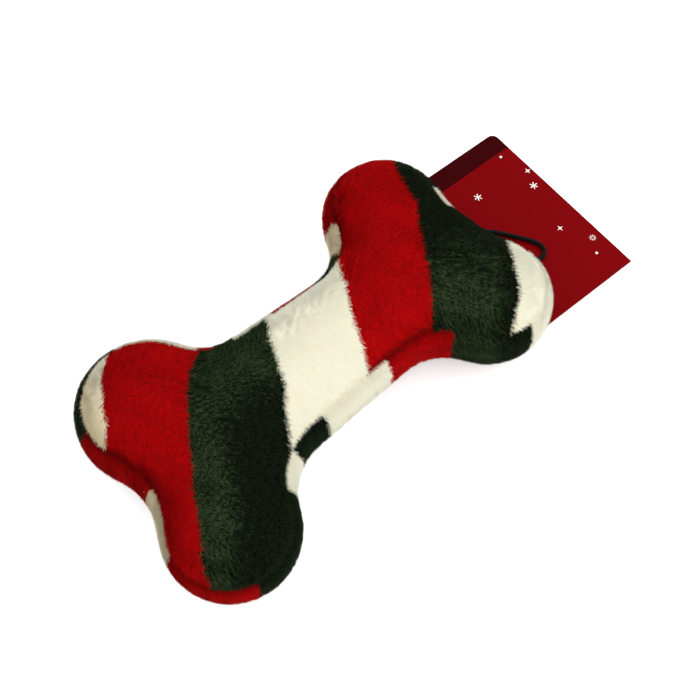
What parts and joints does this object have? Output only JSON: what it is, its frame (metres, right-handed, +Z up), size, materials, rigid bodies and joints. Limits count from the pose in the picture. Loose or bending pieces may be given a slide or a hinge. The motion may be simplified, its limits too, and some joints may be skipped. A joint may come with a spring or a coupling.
{
  "type": "stuffed plush bone dog toy",
  "caption": "Bone-shaped striped plush dog toy: two panels and a side band sewn round fibre filling and squeakers, with a card hang tag on an elastic loop",
  "frame": {"origin": "middle of the toy's footprint on the surface that it lies on", "axes": "+X along the shaft towards the end with the hang tag, +Z up out of the front panel, +Y towards the left lobes"},
  "size_m": [0.2986, 0.1419, 0.0555],
  "materials": {
    "striped_plush": "short-pile plush in diagonal stripes of red, dark green and cream",
    "polyester_fibre": "loose white hollow-fibre filling",
    "bulb_vinyl": "soft moulded vinyl, semi-gloss",
    "plug_plastic": "moulded white plastic",
    "reed_film": "thin plastic strip",
    "black_elastic": "black braided elastic cord",
    "printed_card": "dark red printed card with small white shapes, satin"
  },
  "bodies": {
    "toy": {"front_panel": "striped_plush", "back_panel": "striped_plush", "side_band_tag_end_left": "striped_plush", "side_band_shaft_left": "striped_plush", "side_band_far_end_left": "striped_plush", "side_band_far_end_right": "striped_plush", "side_band_shaft_right": "striped_plush", "side_band_tag_end_right": "striped_plush", "filling_shaft": "polyester_fibre", "filling_tag_end_left": "polyester_fibre", "filling_tag_end_right": "polyester_fibre", "filling_far_end_left": "polyester_fibre", "filling_far_end_right": "polyester_fibre", "squeaker_bulb_tag_end": "bulb_vinyl", "squeaker_plug_tag_end": "plug_plastic", "squeaker_reed_tag_end": "reed_film", "squeaker_bulb_far_end": "bulb_vinyl", "squeaker_plug_far_end": "plug_plastic", "squeaker_reed_far_end": "reed_film"},
    "loop": {"elastic_loop": "black_elastic"},
    "tag": {"hang_tag": "printed_card"}
  },
  "joints": [
    {"name": "tag_lift", "type": "hinge", "parent": "toy", "child": "loop", "pos_m": [0.1121, 0.0033, 0.02367], "axis": [0, -1, 0], "range_deg": [0, 110]},
    {"name": "tag_turn", "type": "hinge", "parent": "loop", "child": "tag", "pos_m": [0.1172, -0.0043, 0.0034], "axis": [0, 0, 1], "range_deg": [-3, 12]}
  ]
}
